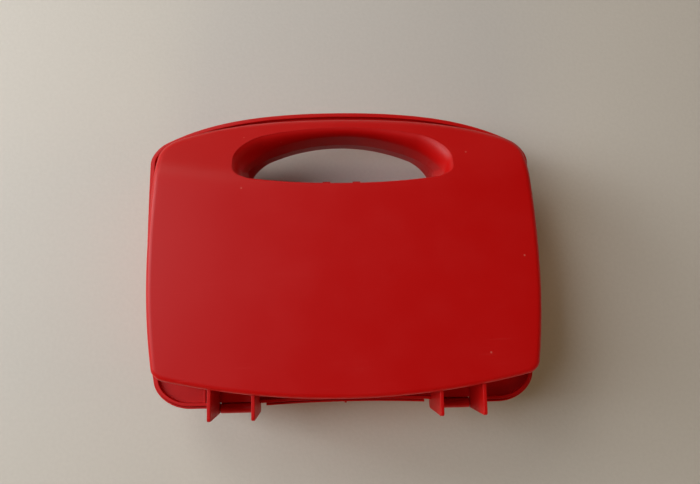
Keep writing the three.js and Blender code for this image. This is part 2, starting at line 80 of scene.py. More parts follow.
# The crease across the panel, above which its face leans back
CREASE_MIDDLE = 40
CREASE_RISE = 8.6
CREASE_SPAN = 112
CREASE_SOFTNESS = 7
LEAN_SHARE = 0.445

# Rims, lips and locating tongue at the parting plane. A lip starts LIP_ROOT inside the plate that it stands on.
FRONT_INSET = 2.1
FRONT_FLANGE = 2.0
FRONT_LIP_WIDTH = 1.8
FRONT_LIP_HEIGHT = 2.9
BACK_RIM = 2.6
BACK_LIP_WIDTH = 1.2
BACK_LIP_HEIGHT = 1.2
LIP_ROOT = 1
TONGUE_THICKNESS = 1.2
TONGUE_HEIGHT = 1.8
TONGUE_ROOT = 4
WALL_DRAFT_SHARE = 0.3
GATE_WIDTH = 1.4
GATE_PROUD = 0.9

# Hinges: fins and pins on the front shell, and clips with webs on the back shell
HINGE_Y = -91.4
BARREL_RADIUS = 3.1
PIN_RADIUS = 1.6
FIN_THICKNESS = 2.0
INNER_FIN_X = 53
OUTER_FIN_X = 77.5
FIN_NEAR_EDGE = 34.5
FIN_CORNER = 2.0
FIN_ROOT_Y = -70
SOCKET_DEPTH = 1
CLIP_WIDTH = 21.5
CLIP_PLAY = 0.5
CLIP_MOUTH_DEG = 96
CLIP_MOUTH_TOWARDS_DEG = -125
WEB_DEPTH = 7
WEB_ROOT_Y = -79
RELIEF_EDGE_Y = -87.9
RELIEF_INNER = 3.5
RELIEF_OUTER = 1.5
RIB_X = 85.2
RIB_WIDTH = 1.2

# The latch under the sill of the handle opening, and the slots that it works in
LATCH_HALF_WIDTH = 15.2
LATCH_THICKNESS = 2
LATCH_PIVOT_DEPTH = 13
LATCH_REACH = 9
LATCH_CLEARANCE = 0.6
TRUNNION_RADIUS = 1.5
LUG_THICKNESS = 3
LUG_RADIUS = 3.2
PRONG_X = 9.6
PRONG_WIDTH = 5
NUB_TOP = 48.4
NUB_START = 0.5
NUB_LENGTH = 2.4
BARB_START = 5.9
BARB_LENGTH = 2.7
BARB_BELOW_SILL = 0.3
CATCH_BAR_START = 4
CATCH_BAR_LENGTH = 1.5
CATCH_WINDOW_LENGTH = 3.9
PRONG_CLEARANCE = 0.4

# Edge rounding of the visible model, and how finely its curves are stepped
SOFT_EDGE = 0.35
FINE_EDGE = 0.2
BODY_STEPS = Sizes(foot=44, foot_corner=14, sides=64, top_corner=18, top=44)
RIM_STEPS = Sizes(foot=60, foot_corner=26, sides=40, top_corner=16, top=60)
OPENING_STEPS = Sizes(foot=30, foot_corner=8, sides=4, top_corner=20, top=40)
ROUND_FACETS = 48
EDGE_STEPS = 3
END_EDGE_SHARE = 0.9
FIN_CORNER_STEPS = 8
PANEL_ROUNDING_STEPS = 8
MOUTH_STEPS = 14
CORNER_PASSES = 12
CORNER_PULL = 0.56
BELOW_CREASE = 4


# Outlines
def bow(radius, x):
    """How far an arc of this radius has fallen away at x."""
    return radius - math.sqrt(radius * radius - x * x)


def top_drop(o, x):
    return bow(o.top_radius, x) + o.shoulder * (x / o.shoulder_at) ** 4


def top_edge(o, x):
    return o.top - top_drop(o, x)


def foot_edge(o, x):
    return o.foot + bow(o.foot_radius, x) - o.dip * min(1, (x / o.dip_span) ** 2)


def side_edge(o, y):
    away = y - o.widest
    drop, span = (o.high_drop, o.high_span) if away > 0 else (o.low_drop, o.low_span)
    return o.half_width - drop * (away / span) ** 2


def opening_half(o, steps):
    """Right half of an outline of the handle opening, from the middle of its foot to the middle of its top."""
    radius = [(o.half_width ** 2 + rise * rise) / (2 * rise) for rise in (o.top_rise, o.foot_rise)]

    def top(x):
        return o.top - bow(radius[0], x)

    def foot(x):
        return o.foot + bow(radius[1], x)

    w = o.half_width
    height = top(w) - foot(w)
    foot_end, side_start = w - o.foot_corner[0], foot(w) + height * o.foot_corner[1]
    side_end, top_start = top(w) - height * o.top_corner[1], w - o.top_corner[0]
    points = [(foot_end * i / steps.foot, foot(foot_end * i / steps.foot)) for i in range(steps.foot)]
    points += round_corner((foot_end, foot(foot_end)), (w, foot(w)), (w, side_start), steps.foot_corner)
    points += [(w, side_start + (side_end - side_start) * i / steps.sides) for i in range(1, steps.sides)]
    points += round_corner((w, side_end), (w, top(w)), (top_start, top(top_start)), steps.top_corner)
    points += [(x, top(x)) for x in [top_start * (1 - i / steps.top) for i in range(1, steps.top + 1)]]
    return points


def sharp_corner(o, edge):
    """Where a side would meet the top or the foot edge without rounding."""
    x = o.half_width
    for _ in range(CORNER_PASSES):
        x = side_edge(o, edge(o, x))
    return (x, edge(o, x))


def round_corner(start, corner, end, steps):
    a, c, b = Vector(start), Vector(corner), Vector(end)
    p, q = a.lerp(c, CORNER_PULL), b.lerp(c, CORNER_PULL)
    points = []
    for i in range(steps + 1):
        t = i / steps
        points.append(tuple(a * (1 - t) ** 3 + p * 3 * t * (1 - t) ** 2 + q * 3 * t * t * (1 - t) + b * t ** 3))
    return points


def right_half(o, steps):
    """Right half of an outline of the case, from the middle of its foot to the middle of its top."""
    foot, top = sharp_corner(o, foot_edge), sharp_corner(o, top_edge)
    foot_end, side_start = foot[0] - o.foot_corner[0], foot[1] + o.foot_corner[1]
    side_end, top_start = top[1] - o.top_corner[1], top[0] - o.top_corner[0]
    points = [(foot_end * i / steps.foot, foot_edge(o, foot_end * i / steps.foot)) for i in range(steps.foot)]
    points += round_corner((foot_end, foot_edge(o, foot_end)), foot,
                           (side_edge(o, side_start), side_start), steps.foot_corner)
    for i in range(1, steps.sides):
        y = side_start + (side_end - side_start) * i / steps.sides
        points.append((side_edge(o, y), y))
    points += round_corner((side_edge(o, side_end), side_end), top,
                           (top_start, top_edge(o, top_start)), steps.top_corner)
    for i in range(1, steps.top + 1):
        x = top_start * (1 - i / steps.top)
        points.append((x, top_edge(o, x)))
    return points


def outline(o, steps):
    right = opening_half(o, steps) if hasattr(o, "top_rise") else right_half(o, steps)
    return right + [(-x, y) for x, y in reversed(right[1:-1])]


def outward(points):
    """Direction away from the inside at each point of an outline."""
    n = len(points)
    out = []
    for i in range(n):
        before, after = points[i - 1], points[(i + 1) % n]
        dx, dy = after[0] - before[0], after[1] - before[1]
        size = math.hypot(dx, dy)
        out.append((dy / size, -dx / size))
    return out


def grown(points, distance):
    return [(x + a * distance, y + b * distance) for (x, y), (a, b) in zip(points, outward(points))]


def crease_y(x):
    return CREASE_MIDDLE + CREASE_RISE * (x / CREASE_SPAN) ** 2


def face_height(x, y):
    """Height of the panel: flat below the crease, softly bent along it and leaning above it."""
    above = y - crease_y(x)
    if above < -CREASE_SOFTNESS:
        run = 0
    elif above > CREASE_SOFTNESS:
        run = above
    else:
        run = (above + CREASE_SOFTNESS) ** 2 / (4 * CREASE_SOFTNESS)
    return HALF_DEPTH - LEAN_SHARE * run


# Solids. Each is a list of points and a list of faces, closed and facing out.
def level(points, z):
    return [(x, y, z) for x, y in points]


def bands(first, second, count):
    return [(first + i, first + (i + 1) % count, second + (i + 1) % count, second + i) for i in range(count)]


def stacked(rings):
    """Rings one above the other, closed under the first and open at the last."""
    count = len(rings[0])
    faces = [tuple(reversed(range(count)))]
    for k in range(1, len(rings)):
        faces += bands((k - 1) * count, k * count, count)
    return [p for ring in rings for p in ring], faces


def lofted(rings):
    points, faces = stacked(rings)
    faces.append(tuple(range(len(points) - len(rings[0]), len(points))))
    return points, faces


def edge_turns(radius):
    """Insets and rises of the rings that round an edge, from the flat end to the side."""
    return [(radius * (1 - math.sin(a)), radius * (1 - math.cos(a)))
            for a in [math.pi / 2 * i / EDGE_STEPS for i in range(EDGE_STEPS + 1)]]


def soft_slab(points, low, high, low_radius, high_radius):
    """An outline drawn up from low to high, with its edges rounded where they have a radius."""
    rings = []
    if low_radius:
        rings += [level(grown(points, -inset), low + rise) for inset, rise in edge_turns(low_radius)]
    else:
        rings.append(level(points, low))
    if high_radius:
        rings += [level(grown(points, -inset), high - rise) for inset, rise in reversed(edge_turns(high_radius))]
    else:
        rings.append(level(points, high))
    return lofted(rings)


def lip_section(low, high, root, tip, radius):
    """Section of a lip between two distances from an outline, from its root to its rounded tip."""
    up = 1 if tip > root else -1
    first, last = (high, low) if up > 0 else (low, high)
    turns = edge_turns(radius)
    section = [(first, root)] + [(first - up * a, tip - up * b) for a, b in reversed(turns)]
    return section + [(last + up * a, tip - up * b) for a, b in turns] + [(last, root)]


def swept_frame(points, section):
    """A section of distances and heights, swept round an outline."""
    count = len(points)
    rings = [level(grown(points, d), z) for d, z in section]
    verts = [p for ring in rings for p in ring]
    faces = []
    for k in range(len(rings)):
        faces += bands(k * count, (k + 1) % len(rings) * count, count)
    return verts, faces


def along_x(profile, low_x, high_x, radius=0):
    """A profile of Y and height, drawn out from low_x to high_x."""
    points, faces = soft_slab(profile, low_x, high_x, radius, radius)
    return [(w, u, v) for u, v, w in points], faces


def block(x0, x1, y0, y1, z0, z1, radius=0):
    r, steps = radius, EDGE_STEPS
    if not r:
        return along_x([(y0, z0), (y1, z0), (y1, z1), (y0, z1)], x0, x1)
    profile = (arc((y0 + r, z0 + r), r, 180, 270, steps) + arc((y1 - r, z0 + r), r, 270, 360, steps)
               + arc((y1 - r, z1 - r), r, 0, 90, steps) + arc((y0 + r, z1 - r), r, 90, 180, steps))
    return along_x(profile, x0, x1, r * END_EDGE_SHARE)


def arc(centre, radius, start, end, steps):
    return [(centre[0] + radius * math.cos(math.radians(start + (end - start) * i / steps)),
             centre[1] + radius * math.sin(math.radians(start + (end - start) * i / steps)))
            for i in range(steps + 1)]


def disc(centre, radius):
    return arc(centre, radius, 0, 360, ROUND_FACETS)[:-1]


def mirrored(solid, axis):
    """The solid's mirror image in X (0), Y (1) or height (2)."""
    sign = [1, 1, 1]
    sign[axis] = -1
    points, faces = solid
    return ([(x * sign[0], y * sign[1], z * sign[2]) for x, y, z in points],
            [tuple(reversed(f)) for f in faces])


def both_sides(solid):
    return [solid, mirrored(solid, 0)]


# Joining and cutting
def temporary(solid):
    """A triangulated object for the boolean modifiers."""
    mesh = bpy.data.meshes.new("form")
    mesh.from_pydata([Vector(p) for p in solid[0]], [], solid[1])
    triangles = bmesh.new()
    triangles.from_mesh(mesh)
    bmesh.ops.triangulate(triangles, faces=triangles.faces)
    triangles.to_mesh(mesh)
    triangles.free()
    thing = bpy.data.objects.new("form", mesh)
    bpy.context.collection.objects.link(thing)
    return thing


def combined(base, others, operation):
    thing = temporary(base)
    tools = [temporary(o) for o in others]
    for tool in tools:
        modifier = thing.modifiers.new("join", "BOOLEAN")
        modifier.operation = operation
        modifier.solver = "MANIFOLD"
        modifier.object = tool
    graph = bpy.context.evaluated_depsgraph_get()
    mesh = bpy.data.meshes.new_from_object(thing.evaluated_get(graph))
    points = [tuple(v.co) for v in mesh.vertices]
    faces = [tuple(p.vertices) for p in mesh.polygons]
    bpy.data.meshes.remove(mesh)
    for spent in [thing] + tools:
        old = spent.data
        bpy.data.objects.remove(spent)
        bpy.data.meshes.remove(old)
    return points, faces


def joined(solids):
    return combined(solids[0], solids[1:], "UNION")


def cut(solid, tools):
    return combined(solid, tools, "DIFFERENCE")


# Half shells
def dome(inset, start):
    """The closed form of a half shell, from height start to its face, this far inside the outer skin."""
    foot = grown(outline(WALL_FOOT, BODY_STEPS), -inset)
    brow = grown(outline(PANEL, BODY_STEPS), -inset)
    inwards = outward(brow)
    reach = (PANEL_ROUNDING - inset) * REACH_SHARE
    rings = [level(foot, start)]
    if start < 0:
        rings.append(level(foot, 0))
    sharp = [Vector((x, y, face_height(x, y) - inset)) for x, y in brow]
    below, inside = [], []
    for p, f, (nx, ny) in zip(sharp, foot, inwards):
        down = (Vector((f[0], f[1], max(start, 0))) - p).normalized()
        below.append(p + down * reach)
        x, y = p.x - nx * reach, p.y - ny * reach
        inside.append(Vector((x, y, face_height(x, y) - inset)))
    for k in range(PANEL_ROUNDING_STEPS + 1):
        t = k / PANEL_ROUNDING_STEPS
        rings.append([tuple(a * (1 - t) ** 2 + p * 2 * t * (1 - t) + b * t * t)
                      for a, p, b in zip(below, sharp, inside)])
    return closed_by_face(rings, inset)


def closed_by_face(rings, inset):
    """Closes the last ring with a face that is one flat polygon up to the crease and a grid above it."""
    count = len(rings[0])
    edge = rings[-1]
    last_start = (len(rings) - 1) * count
    points, faces = stacked(rings)
    s = BODY_STEPS
    side_row = s.foot + s.foot_corner
    top_row = side_row + s.sides
    last_row = top_row + s.top_corner
    first_row = next(j for j in range(side_row, top_row)
                     if edge[j][1] > crease_y(edge[j][0]) - CREASE_SOFTNESS - BELOW_CREASE)
    top_end = edge[last_row][0]
    ids = []
    for j in range(first_row, last_row + 1):
        edge_x, edge_y = edge[j][0], edge[j][1]
        to_top = max(0, (j - top_row) / (last_row - top_row))
        row = []
        for k in range(2 * s.top + 1):
            if j == last_row:
                row.append(last_start + last_row + k)
                continue
            if k == 0:
                row.append(last_start + j)
                continue
            if k == 2 * s.top:
                row.append(last_start + count - j)
                continue
            x = edge_x * edge[last_row + k][0] / top_end
            crease = crease_y(x) - crease_y(edge_x)
            rise = top_drop(PANEL, edge_x) - top_drop(PANEL, x)
            y = edge_y + (1 - to_top) * crease + to_top * rise
            row.append(len(points))
            points.append((x, y, face_height(x, y) - inset))
        ids.append(row)
    for lower, upper in zip(ids, ids[1:]):
        for k in range(1, len(lower)):
            faces.append((lower[k], lower[k - 1], upper[k - 1], upper[k]))
    loop = [last_start + i for i in range(first_row)] + ids[0]
    loop += [last_start + count - first_row + 1 + i for i in range(first_row - 1)]
    faces.append(tuple(loop))
    return points, faces


def tunnel(neck, growth):
    """The handle opening's form from the throat through the neck to the flared mouth, grown all round."""
    narrow, middle, wide = [outline(o, OPENING_STEPS) for o in (THROAT, neck, MOUTH)]
    out = outward(middle)
    rings = [level(grown(narrow, growth), -OVERRUN), level(grown(narrow, growth), 0)]
    for k in range(MOUTH_STEPS + 1):
        turn = math.radians(MOUTH_TURN_DEG) * k / MOUTH_STEPS
        ring = []
        for m, w, n in zip(middle, wide, out):
            flare = math.hypot(w[0] - m[0], w[1] - m[1])
            depth = max(LEAST_MOUTH_DEPTH, flare * MOUTH_DEPTH_SHARE)
            mix = 1 - math.cos(turn)
            side = growth * math.cos(turn)
            ring.append((m[0] + (w[0] - m[0]) * mix + n[0] * side,
                         m[1] + (w[1] - m[1]) * mix + n[1] * side,
                         face_height(*w) - depth * (1 - math.sin(turn)) - growth * math.sin(turn)))
        rings.append(ring)
    last = rings[-1]
    flat = [(x, y) for x, y, z in last]
    opened = grown(flat, GAP) if growth == 0 else flat
    rings.append([(x, y, p[2] + growth + OVERRUN) for (x, y), p in zip(opened, last)])
    return lofted(rings)


def half_forms(neck):
    """The outer form, the hollow and the opening of a half shell."""
    hollow = cut(dome(WALL, -OVERRUN), [tunnel(neck, WALL)])
    return dome(0, GAP / 2), hollow, tunnel(neck, 0)


def hinge_relief(inner, outer):
    return block(INNER_FIN_X - inner, OUTER_FIN_X + outer,
                 RIM.foot - RIM.dip - OVERRUN, RELIEF_EDGE_Y, -2 * OVERRUN, 2 * OVERRUN)


def fin(x, socket_side):
    """A hinge fin round X, with the pin's socket in one of its faces."""
    foot_y = HINGE_Y - BARREL_RADIUS
    corner = (foot_y + FIN_CORNER, FIN_NEAR_EDGE - FIN_CORNER)
    profile = [(FIN_ROOT_Y, FIN_NEAR_EDGE)]
    profile += arc(corner, FIN_CORNER, 90, 180, FIN_CORNER_STEPS)
    profile += arc((HINGE_Y, 0), BARREL_RADIUS, 180, 360, ROUND_FACETS // 2)
    profile += [(HINGE_Y + BARREL_RADIUS, GAP / 2), (FIN_ROOT_Y, GAP / 2)]
    plate = along_x(profile, x - FIN_THICKNESS / 2, x + FIN_THICKNESS / 2, SOFT_EDGE)
    face = x + socket_side * FIN_THICKNESS / 2
    ends = sorted((face - socket_side * SOCKET_DEPTH, face + socket_side * OVERRUN))
    return cut(plate, [along_x(disc((HINGE_Y, 0), PIN_RADIUS + GAP), *ends)])


def front_shell():
    outer, hollow, opening = half_forms(NECK)
    edge = grown(outline(RIM, RIM_STEPS), -FRONT_INSET)
    top = GAP / 2 + FRONT_FLANGE
    flange = soft_slab(edge, GAP / 2, top, FINE_EDGE, 0)
    lip = swept_frame(edge, lip_section(-FRONT_LIP_WIDTH, 0, GAP / 2 + LIP_ROOT, top + FRONT_LIP_HEIGHT, SOFT_EDGE))
    lip_break = block(INNER_FIN_X, OUTER_FIN_X, RIM.foot - RIM.dip, FIN_ROOT_Y,
                      top, top + FRONT_LIP_HEIGHT + OVERRUN)
    flanges = cut(joined([flange, lip]), both_sides(hinge_relief(0, 0)) + both_sides(lip_break))
    fins = both_sides(fin(INNER_FIN_X, 1)) + both_sides(fin(OUTER_FIN_X, -1))
    rib = block(RIB_X - RIB_WIDTH / 2, RIB_X + RIB_WIDTH / 2,
                foot_edge(RIM, RIB_X) + FRONT_INSET + FRONT_LIP_WIDTH / 2, FIN_ROOT_Y,
                GAP, top + FRONT_LIP_HEIGHT, FINE_EDGE)
    shell = joined([outer, flanges] + fins + both_sides(rib))
    half = PRONG_WIDTH / 2 + PRONG_CLEARANCE
    window = CATCH_BAR_START + CATCH_BAR_LENGTH
    low, high = THROAT.foot - 2 * WALL - OVERRUN, THROAT.foot + OVERRUN
    slots = []
    for x in (-PRONG_X, PRONG_X):
        slots.append(block(x - half, x + half, low, high, -OVERRUN, CATCH_BAR_START))
        slots.append(block(x - half, x + half, low, high, window, window + CATCH_WINDOW_LENGTH))
    return cut(shell, [hollow, opening] + slots)


def hinge_clip():
    """The open clip that turns on the right pin, and its web, as if they stood on the front shell."""
    start = INNER_FIN_X + FIN_THICKNESS / 2 + CLIP_PLAY
    mouth_from = CLIP_MOUTH_TOWARDS_DEG - CLIP_MOUTH_DEG / 2
    mouth_to = mouth_from + CLIP_MOUTH_DEG
    centre = (HINGE_Y, 0)
    profile = arc(centre, BARREL_RADIUS, mouth_to, mouth_from + 360, ROUND_FACETS)
    profile += arc(centre, PIN_RADIUS + GAP, mouth_from + 360, mouth_to, ROUND_FACETS)
    clip = along_x(profile, start, start + CLIP_WIDTH, FINE_EDGE)
    bore = along_x(disc(centre, PIN_RADIUS + GAP), start - OVERRUN, start + CLIP_WIDTH + OVERRUN)
    web = along_x([(HINGE_Y, -GAP / 2), (HINGE_Y + BARREL_RADIUS, -WEB_DEPTH / 2),
                   (WEB_ROOT_Y, -WEB_DEPTH), (WEB_ROOT_Y, -GAP / 2)], start, start + CLIP_WIDTH)
    return joined([clip, cut(web, [bore])])


def sill_under(height):
    """Y of the underside of the opening's sill at this height."""
    share = height / (HALF_DEPTH - LEAST_MOUTH_DEPTH)
    return THROAT.foot + (NECK.foot - THROAT.foot) * share - WALL


def latch_top():
    return sill_under(LATCH_PIVOT_DEPTH) - LATCH_CLEARANCE


def latch_pivot_y():
    return latch_top() - LATCH_THICKNESS / 2


def latch_lugs():
    lugs = []
    centre = (latch_pivot_y(), LATCH_PIVOT_DEPTH)
    root = sill_under(LATCH_PIVOT_DEPTH) + WALL / 2
    for side in (-1, 1):
        near = side * (LATCH_HALF_WIDTH + GAP)
        ends = sorted((near, near + side * LUG_THICKNESS))
        profile = arc(centre, LUG_RADIUS, 90, 270, ROUND_FACETS // 2)
        profile += [(root, LATCH_PIVOT_DEPTH - LUG_RADIUS), (root, LATCH_PIVOT_DEPTH + LUG_RADIUS)]
        hole = along_x(disc(centre, TRUNNION_RADIUS + GAP), ends[0] - OVERRUN, ends[1] + OVERRUN)
        lugs.append(cut(along_x(profile, *ends, FINE_EDGE), [hole]))
    return lugs


def back_shell():
    outer, hollow, opening = half_forms(BACK_NECK)
    edge = outline(RIM, RIM_STEPS)
    bottom, top = GAP / 2, GAP / 2 + BACK_RIM
    plate = soft_slab(edge, bottom, top, 0, SOFT_EDGE)
    lip = swept_frame(edge, lip_section(-BACK_LIP_WIDTH, 0, bottom + LIP_ROOT, -BACK_LIP_HEIGHT, SOFT_EDGE))
    half = FIN_THICKNESS / 2
    relief = both_sides(hinge_relief(half + RELIEF_INNER, half + RELIEF_OUTER))
    rims = cut(joined([plate, lip]), relief)
    gate = block(-GATE_WIDTH / 2, GATE_WIDTH / 2, RIM.foot - GATE_PROUD, RIM.foot + BACK_LIP_WIDTH,
                 GAP, top, FINE_EDGE)
    shell = cut(joined([outer, rims, gate]), [hollow])
    inner = outline(WALL_FOOT, BODY_STEPS)
    inset = WALL + GAP + WALL_DRAFT_SHARE * TONGUE_HEIGHT
    far = -inset - TONGUE_THICKNESS
    tongue = swept_frame(inner, lip_section(far, -inset, TONGUE_ROOT, -TONGUE_HEIGHT, FINE_EDGE))
    seat = swept_frame(inner, [(far, TONGUE_ROOT), (far, GAP), (-WALL / 2, GAP), (-WALL / 2, TONGUE_ROOT)])
    seat = combined(seat, [outer], "INTERSECT")
    clips = both_sides(mirrored(hinge_clip(), 2))
    return cut(joined([shell, tongue, seat] + clips + latch_lugs()), [opening])


def hinge_pin():
    start = INNER_FIN_X + FIN_THICKNESS / 2 - SOCKET_DEPTH + GAP
    end = OUTER_FIN_X - FIN_THICKNESS / 2 + SOCKET_DEPTH - GAP
    centre = (HINGE_Y, 0)
    return along_x(disc(centre, PIN_RADIUS), start, end, FINE_EDGE)


def latch():
    top = latch_top()
    middle = top - LATCH_THICKNESS / 2
    barb_top = sill_under(BARB_START) + WALL - BARB_BELOW_SILL
    barb_end = BARB_START + BARB_LENGTH
    reach = LATCH_HALF_WIDTH + GAP + LUG_THICKNESS
    solids = [
        block(-LATCH_HALF_WIDTH, LATCH_HALF_WIDTH, top - LATCH_THICKNESS, top,
              -LATCH_PIVOT_DEPTH, LATCH_REACH, FINE_EDGE),
        along_x(disc((latch_pivot_y(), -LATCH_PIVOT_DEPTH), TRUNNION_RADIUS), -reach, reach, FINE_EDGE),
    ]
    for x in (-PRONG_X, PRONG_X):
        low, high = x - PRONG_WIDTH / 2, x + PRONG_WIDTH / 2
        solids.append(block(low, high, middle, NUB_TOP, NUB_START, NUB_START + NUB_LENGTH, SOFT_EDGE))
        barb = [(barb_top, BARB_START), (barb_top, BARB_START + BARB_LENGTH / 3),
                (top + LATCH_CLEARANCE, barb_end), (middle, barb_end), (middle, BARB_START)]
        solids.append(along_x(barb, low, high, FINE_EDGE))
    return joined(solids)


# Placing: heights above the parting plane become Z in metres, to the front or to the back
SHARP_FROM_DEG = 28
EVEN_SHADING = 80


def placed(name, solid, body, faces_back=False):
    points, faces = mirrored(solid, 2) if faces_back else solid
    mesh = bpy.data.meshes.new(name)
    mesh.from_pydata([Vector((x, y, z + HALF_DEPTH)) / 1000 for x, y, z in points], [], faces)
    mesh.shade_smooth()
    mesh.set_sharp_from_angle(angle=math.radians(SHARP_FROM_DEG))
    piece = bpy.data.objects.new(name, mesh)
    bpy.context.collection.objects.link(piece)
    weighted = piece.modifiers.new("even_shading", "WEIGHTED_NORMAL")
    weighted.keep_sharp = True
    weighted.weight = EVEN_SHADING
    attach(piece, body)
    return piece


def build_case():
    pin = hinge_pin()
    pieces = {
        "back_shell": placed("back_shell_moulding", back_shell(), "base", True),
        "front_shell": placed("front_shell_moulding", front_shell(), "lid"),
        "latch": placed("latch_moulding", latch(), "latch"),
        "hinge_pin_left": placed("hinge_pin_left_moulding", mirrored(pin, 0), "lid"),
        "hinge_pin_right": placed("hinge_pin_right_moulding", pin, "lid"),
    }
    for node, piece in pieces.items():
        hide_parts(node)
    return pieces


# Colours of the plastic, linear
RED_DEEP = (0.465, 0.0014, 0.0011, 1)
RED_FULL = (0.51, 0.0019, 0.0015, 1)
RED_DUSTY = (0.54, 0.008, 0.007, 1)
RED_RUBBED = (0.60, 0.035, 0.032, 1)
SPECK = (0.66, 0.16, 0.13, 1)

# Layers of the plastic: scale of the noise per metre, the band of it that shows, and how strongly it shows in the
# colour and the roughness. Bumps have a strength, and a distance in metres.
FLOW = Sizes(scale=11.0, detail=3.0, low=0.3, high=0.7, smooth=0.40, dull=0.45)
PATCHES = Sizes(scale=38.0, detail=4.0, low=0.42, high=0.68, colour=0.10, roughness=0.05)
SCUFFS = Sizes(scale=30.0, detail=5.0, low=0.63, high=0.72, colour=0.16, roughness=0.12)
SCUFF_STRETCH = (1.0, 34.0, 14.0)
SCUFFED_AREAS = Sizes(scale=22.0, detail=2.0, low=0.45, high=0.62)
SPECKS = Sizes(scale=135.0, none=0.955, all=0.97, rim=0.10, core=0.05, colour=0.5)
EDGES = Sizes(flat=0.515, sharp=0.60, colour=0.05, roughness=0.08)
EDGE_WEAR = Sizes(scale=240.0, detail=3.0, low=0.35, high=0.65)
GRAIN = Sizes(scale=1500.0, detail=2.0, strength=0.10, distance=0.00008)
WAVE = Sizes(scale=16.0, detail=1.0, strength=0.15, distance=0.0008)
SCORE = Sizes(strength=0.10, distance=0.00005)
SPECULAR_LEVEL = 0.28


class Nodes:
    """Short ways to add nodes to the tree of one material or world."""

    def __init__(self, owner):
        owner.use_nodes = True
        self.tree = owner.node_tree

    def set(self, socket, value):
        if isinstance(value, bpy.types.NodeSocket):
            self.tree.links.new(value, socket)
        else:
            socket.default_value = value

    def add(self, kind, inputs=None, **settings):
        node = self.tree.nodes.new(kind)
        for key, value in settings.items():
            setattr(node, key, value)
        for key, value in (inputs or {}).items():
            self.set(node.inputs[key], value)
        return node

    def noise(self, at, layer):
        return self.add("ShaderNodeTexNoise", {"Vector": at, "Scale": layer.scale,
                                               "Detail": layer.detail}).outputs["Fac"]

    def ranged(self, value, low, high, to_low=0.0, to_high=1.0, **settings):
        return self.add("ShaderNodeMapRange", {"Value": value, "From Min": low, "From Max": high,
                                               "To Min": to_low, "To Max": to_high}, **settings).outputs["Result"]

    def band(self, at, layer):
        return self.ranged(self.noise(at, layer), layer.low, layer.high)

    def mixed(self, factor, first, second):
        return self.add("ShaderNodeMix", {"Factor": factor, "A": first, "B": second},
                        data_type="RGBA").outputs["Result"]

    def maths(self, operation, first, second):
        return self.add("ShaderNodeMath", {0: first, 1: second}, operation=operation).outputs["Value"]

    def bump(self, height, layer, more=None, **settings):
        return self.add("ShaderNodeBump", {"Height": height, "Strength": layer.strength,
                                           "Distance": layer.distance, **(more or {})}, **settings).outputs["Normal"]


def red_plastic():
    """Satin moulded polypropylene: uneven tone, grained skin, rubbed edges, fine scuffs and pale specks."""
    material = bpy.data.materials.new("red_polypropylene")
    n = Nodes(material)
    shader = n.tree.nodes["Principled BSDF"].inputs
    place = n.add("ShaderNodeTexCoord").outputs["Object"]

    # Flow of the moulding, and dust and rubbing that lie on it
    flow = n.noise(place, FLOW)
    patches = n.band(place, PATCHES)
    drawn = n.add("ShaderNodeMapping", {"Vector": place, "Scale": SCUFF_STRETCH}).outputs["Vector"]
    scuffs = n.maths("MULTIPLY", n.band(drawn, SCUFFS), n.band(place, SCUFFED_AREAS))
    cells = n.add("ShaderNodeTexVoronoi", {"Vector": place, "Scale": SPECKS.scale}, feature="F1").outputs
    chance = n.add("ShaderNodeSeparateColor", {"Color": cells["Color"]}).outputs["Red"]
    specks = n.maths("MULTIPLY", n.ranged(cells["Distance"], SPECKS.rim, SPECKS.core),
                     n.ranged(chance, SPECKS.none, SPECKS.all))
    pointed = n.add("ShaderNodeNewGeometry").outputs["Pointiness"]
    edges = n.maths("MULTIPLY", n.ranged(pointed, EDGES.flat, EDGES.sharp), n.band(place, EDGE_WEAR))

    colour = n.mixed(flow, RED_DEEP, RED_FULL)
    rough = n.ranged(flow, FLOW.low, FLOW.high, FLOW.smooth, FLOW.dull)
    for mask, layer, tint in ((patches, PATCHES, RED_DUSTY), (scuffs, SCUFFS, RED_RUBBED),
                              (edges, EDGES, RED_RUBBED)):
        colour = n.mixed(n.maths("MULTIPLY", mask, layer.colour), colour, tint)
        rough = n.maths("ADD", rough, n.maths("MULTIPLY", mask, layer.roughness))
    colour = n.mixed(n.maths("MULTIPLY", specks, SPECKS.colour), colour, SPECK)
    n.set(shader["Base Color"], colour)
    n.set(shader["Roughness"], rough)
    n.set(shader["Specular IOR Level"], SPECULAR_LEVEL)

    # Fine grain of the tool's skin, the slight waviness of a large flat panel, and scores along the scuffs
    grain = n.bump(n.noise(place, GRAIN), GRAIN)
    wave = n.bump(n.noise(place, WAVE), WAVE, {"Normal": grain})
    n.set(shader["Normal"], n.bump(scuffs, SCORE, {"Normal": wave}, invert=True))
    return material


def paint(pieces):
    plastic = red_plastic()
    for piece in pieces.values():
        piece.data.materials.append(plastic)


# The photograph's view, fitted to it. The nadir is the point straight below the camera, in pixels right of and below
# the camera's axis, and the shift moves the frame.
PHOTO_WIDTH = 700
FOCAL_PX = 600.0
NADIR_PX = (-23.257, 77.329)
ROLL_DEG = -1.126
CAMERA_M = (-0.015226, -0.041416, 0.415487)
SHIFT_PX = (-8.5, 3.788)
SENSOR_MM = 36
NEAR_CLIP_M = 0.01


